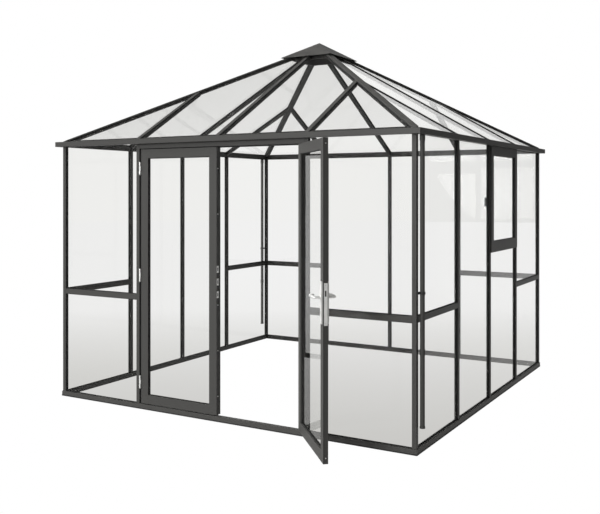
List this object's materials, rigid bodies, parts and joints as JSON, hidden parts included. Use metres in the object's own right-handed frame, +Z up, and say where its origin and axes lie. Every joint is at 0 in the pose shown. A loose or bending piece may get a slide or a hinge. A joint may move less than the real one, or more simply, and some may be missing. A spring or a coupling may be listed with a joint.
{
  "type": "glass greenhouse",
  "caption": "Square glass garden house with a hipped glass roof on a slim aluminium frame, a hinged double door, an opening window, gutters and downpipes",
  "frame": {"origin": "underside of the front sill, in the middle of the doorway, at ground level", "axes": "+X to the right along the door wall, +Y from the door wall to the back, +Z up"},
  "size_m": [3.074, 3.5967, 2.8873],
  "materials": {
    "frame": "anthracite powder coat, satin",
    "glass": "clear toughened glass",
    "metal": "satin stainless steel",
    "plastic": "black moulded plastic"
  },
  "bodies": {
    "house": {"front_back_sills": "frame", "side_sills": "frame", "corner_posts": "frame", "wall_posts": "frame", "door_posts": "frame", "door_jambs": "frame", "door_header": "frame", "mid_rails": "frame", "front_back_eave_beams": "frame", "side_eave_beams": "frame", "front_back_gutters": "frame", "side_gutters": "frame", "downpipes": "frame", "pipe_clips": "plastic", "hip_rafters": "frame", "centre_rafters": "frame", "jack_rafters": "frame", "crown_ring": "frame", "roof_cap": "frame", "front_wall_glass": "glass", "right_wall_glass": "glass", "back_wall_glass": "glass", "left_wall_glass": "glass", "front_roof_glass": "glass", "right_roof_glass": "glass", "back_roof_glass": "glass", "left_roof_glass": "glass", "window_transom": "frame", "window_sash": "frame", "window_glass": "glass", "window_handle": "plastic", "jamb_hinges": "metal"},
    "left_leaf": {"left_leaf_stiles": "frame", "left_leaf_rails": "frame", "left_leaf_glass": "glass", "left_leaf_strip": "frame", "left_leaf_strikes": "metal", "left_leaf_hinges": "metal"},
    "right_leaf": {"right_leaf_stiles": "frame", "right_leaf_rails": "frame", "right_leaf_glass": "glass", "right_leaf_lock": "metal", "right_leaf_hinges": "metal"},
    "lever": {"lever_handle": "metal"}
  },
  "joints": [
    {"name": "left_door", "type": "hinge", "parent": "house", "child": "left_leaf", "pos_m": [-0.6985, -0.017, 0.98], "axis": [0, 0, -1], "range_deg": [0, 150]},
    {"name": "right_door", "type": "hinge", "parent": "house", "child": "right_leaf", "pos_m": [0.6985, -0.017, 0.98], "axis": [0, 0, 1], "range_deg": [-132.2, 17.8]},
    {"name": "door_lever", "type": "hinge", "parent": "right_leaf", "child": "lever", "pos_m": [1.13183, -0.52243, 1.003], "axis": [-0.7408, -0.6717, 0], "range_deg": [0, 45], "stiffness_Nm_per_rad": 1.5, "springref_deg": -28.65}
  ]
}
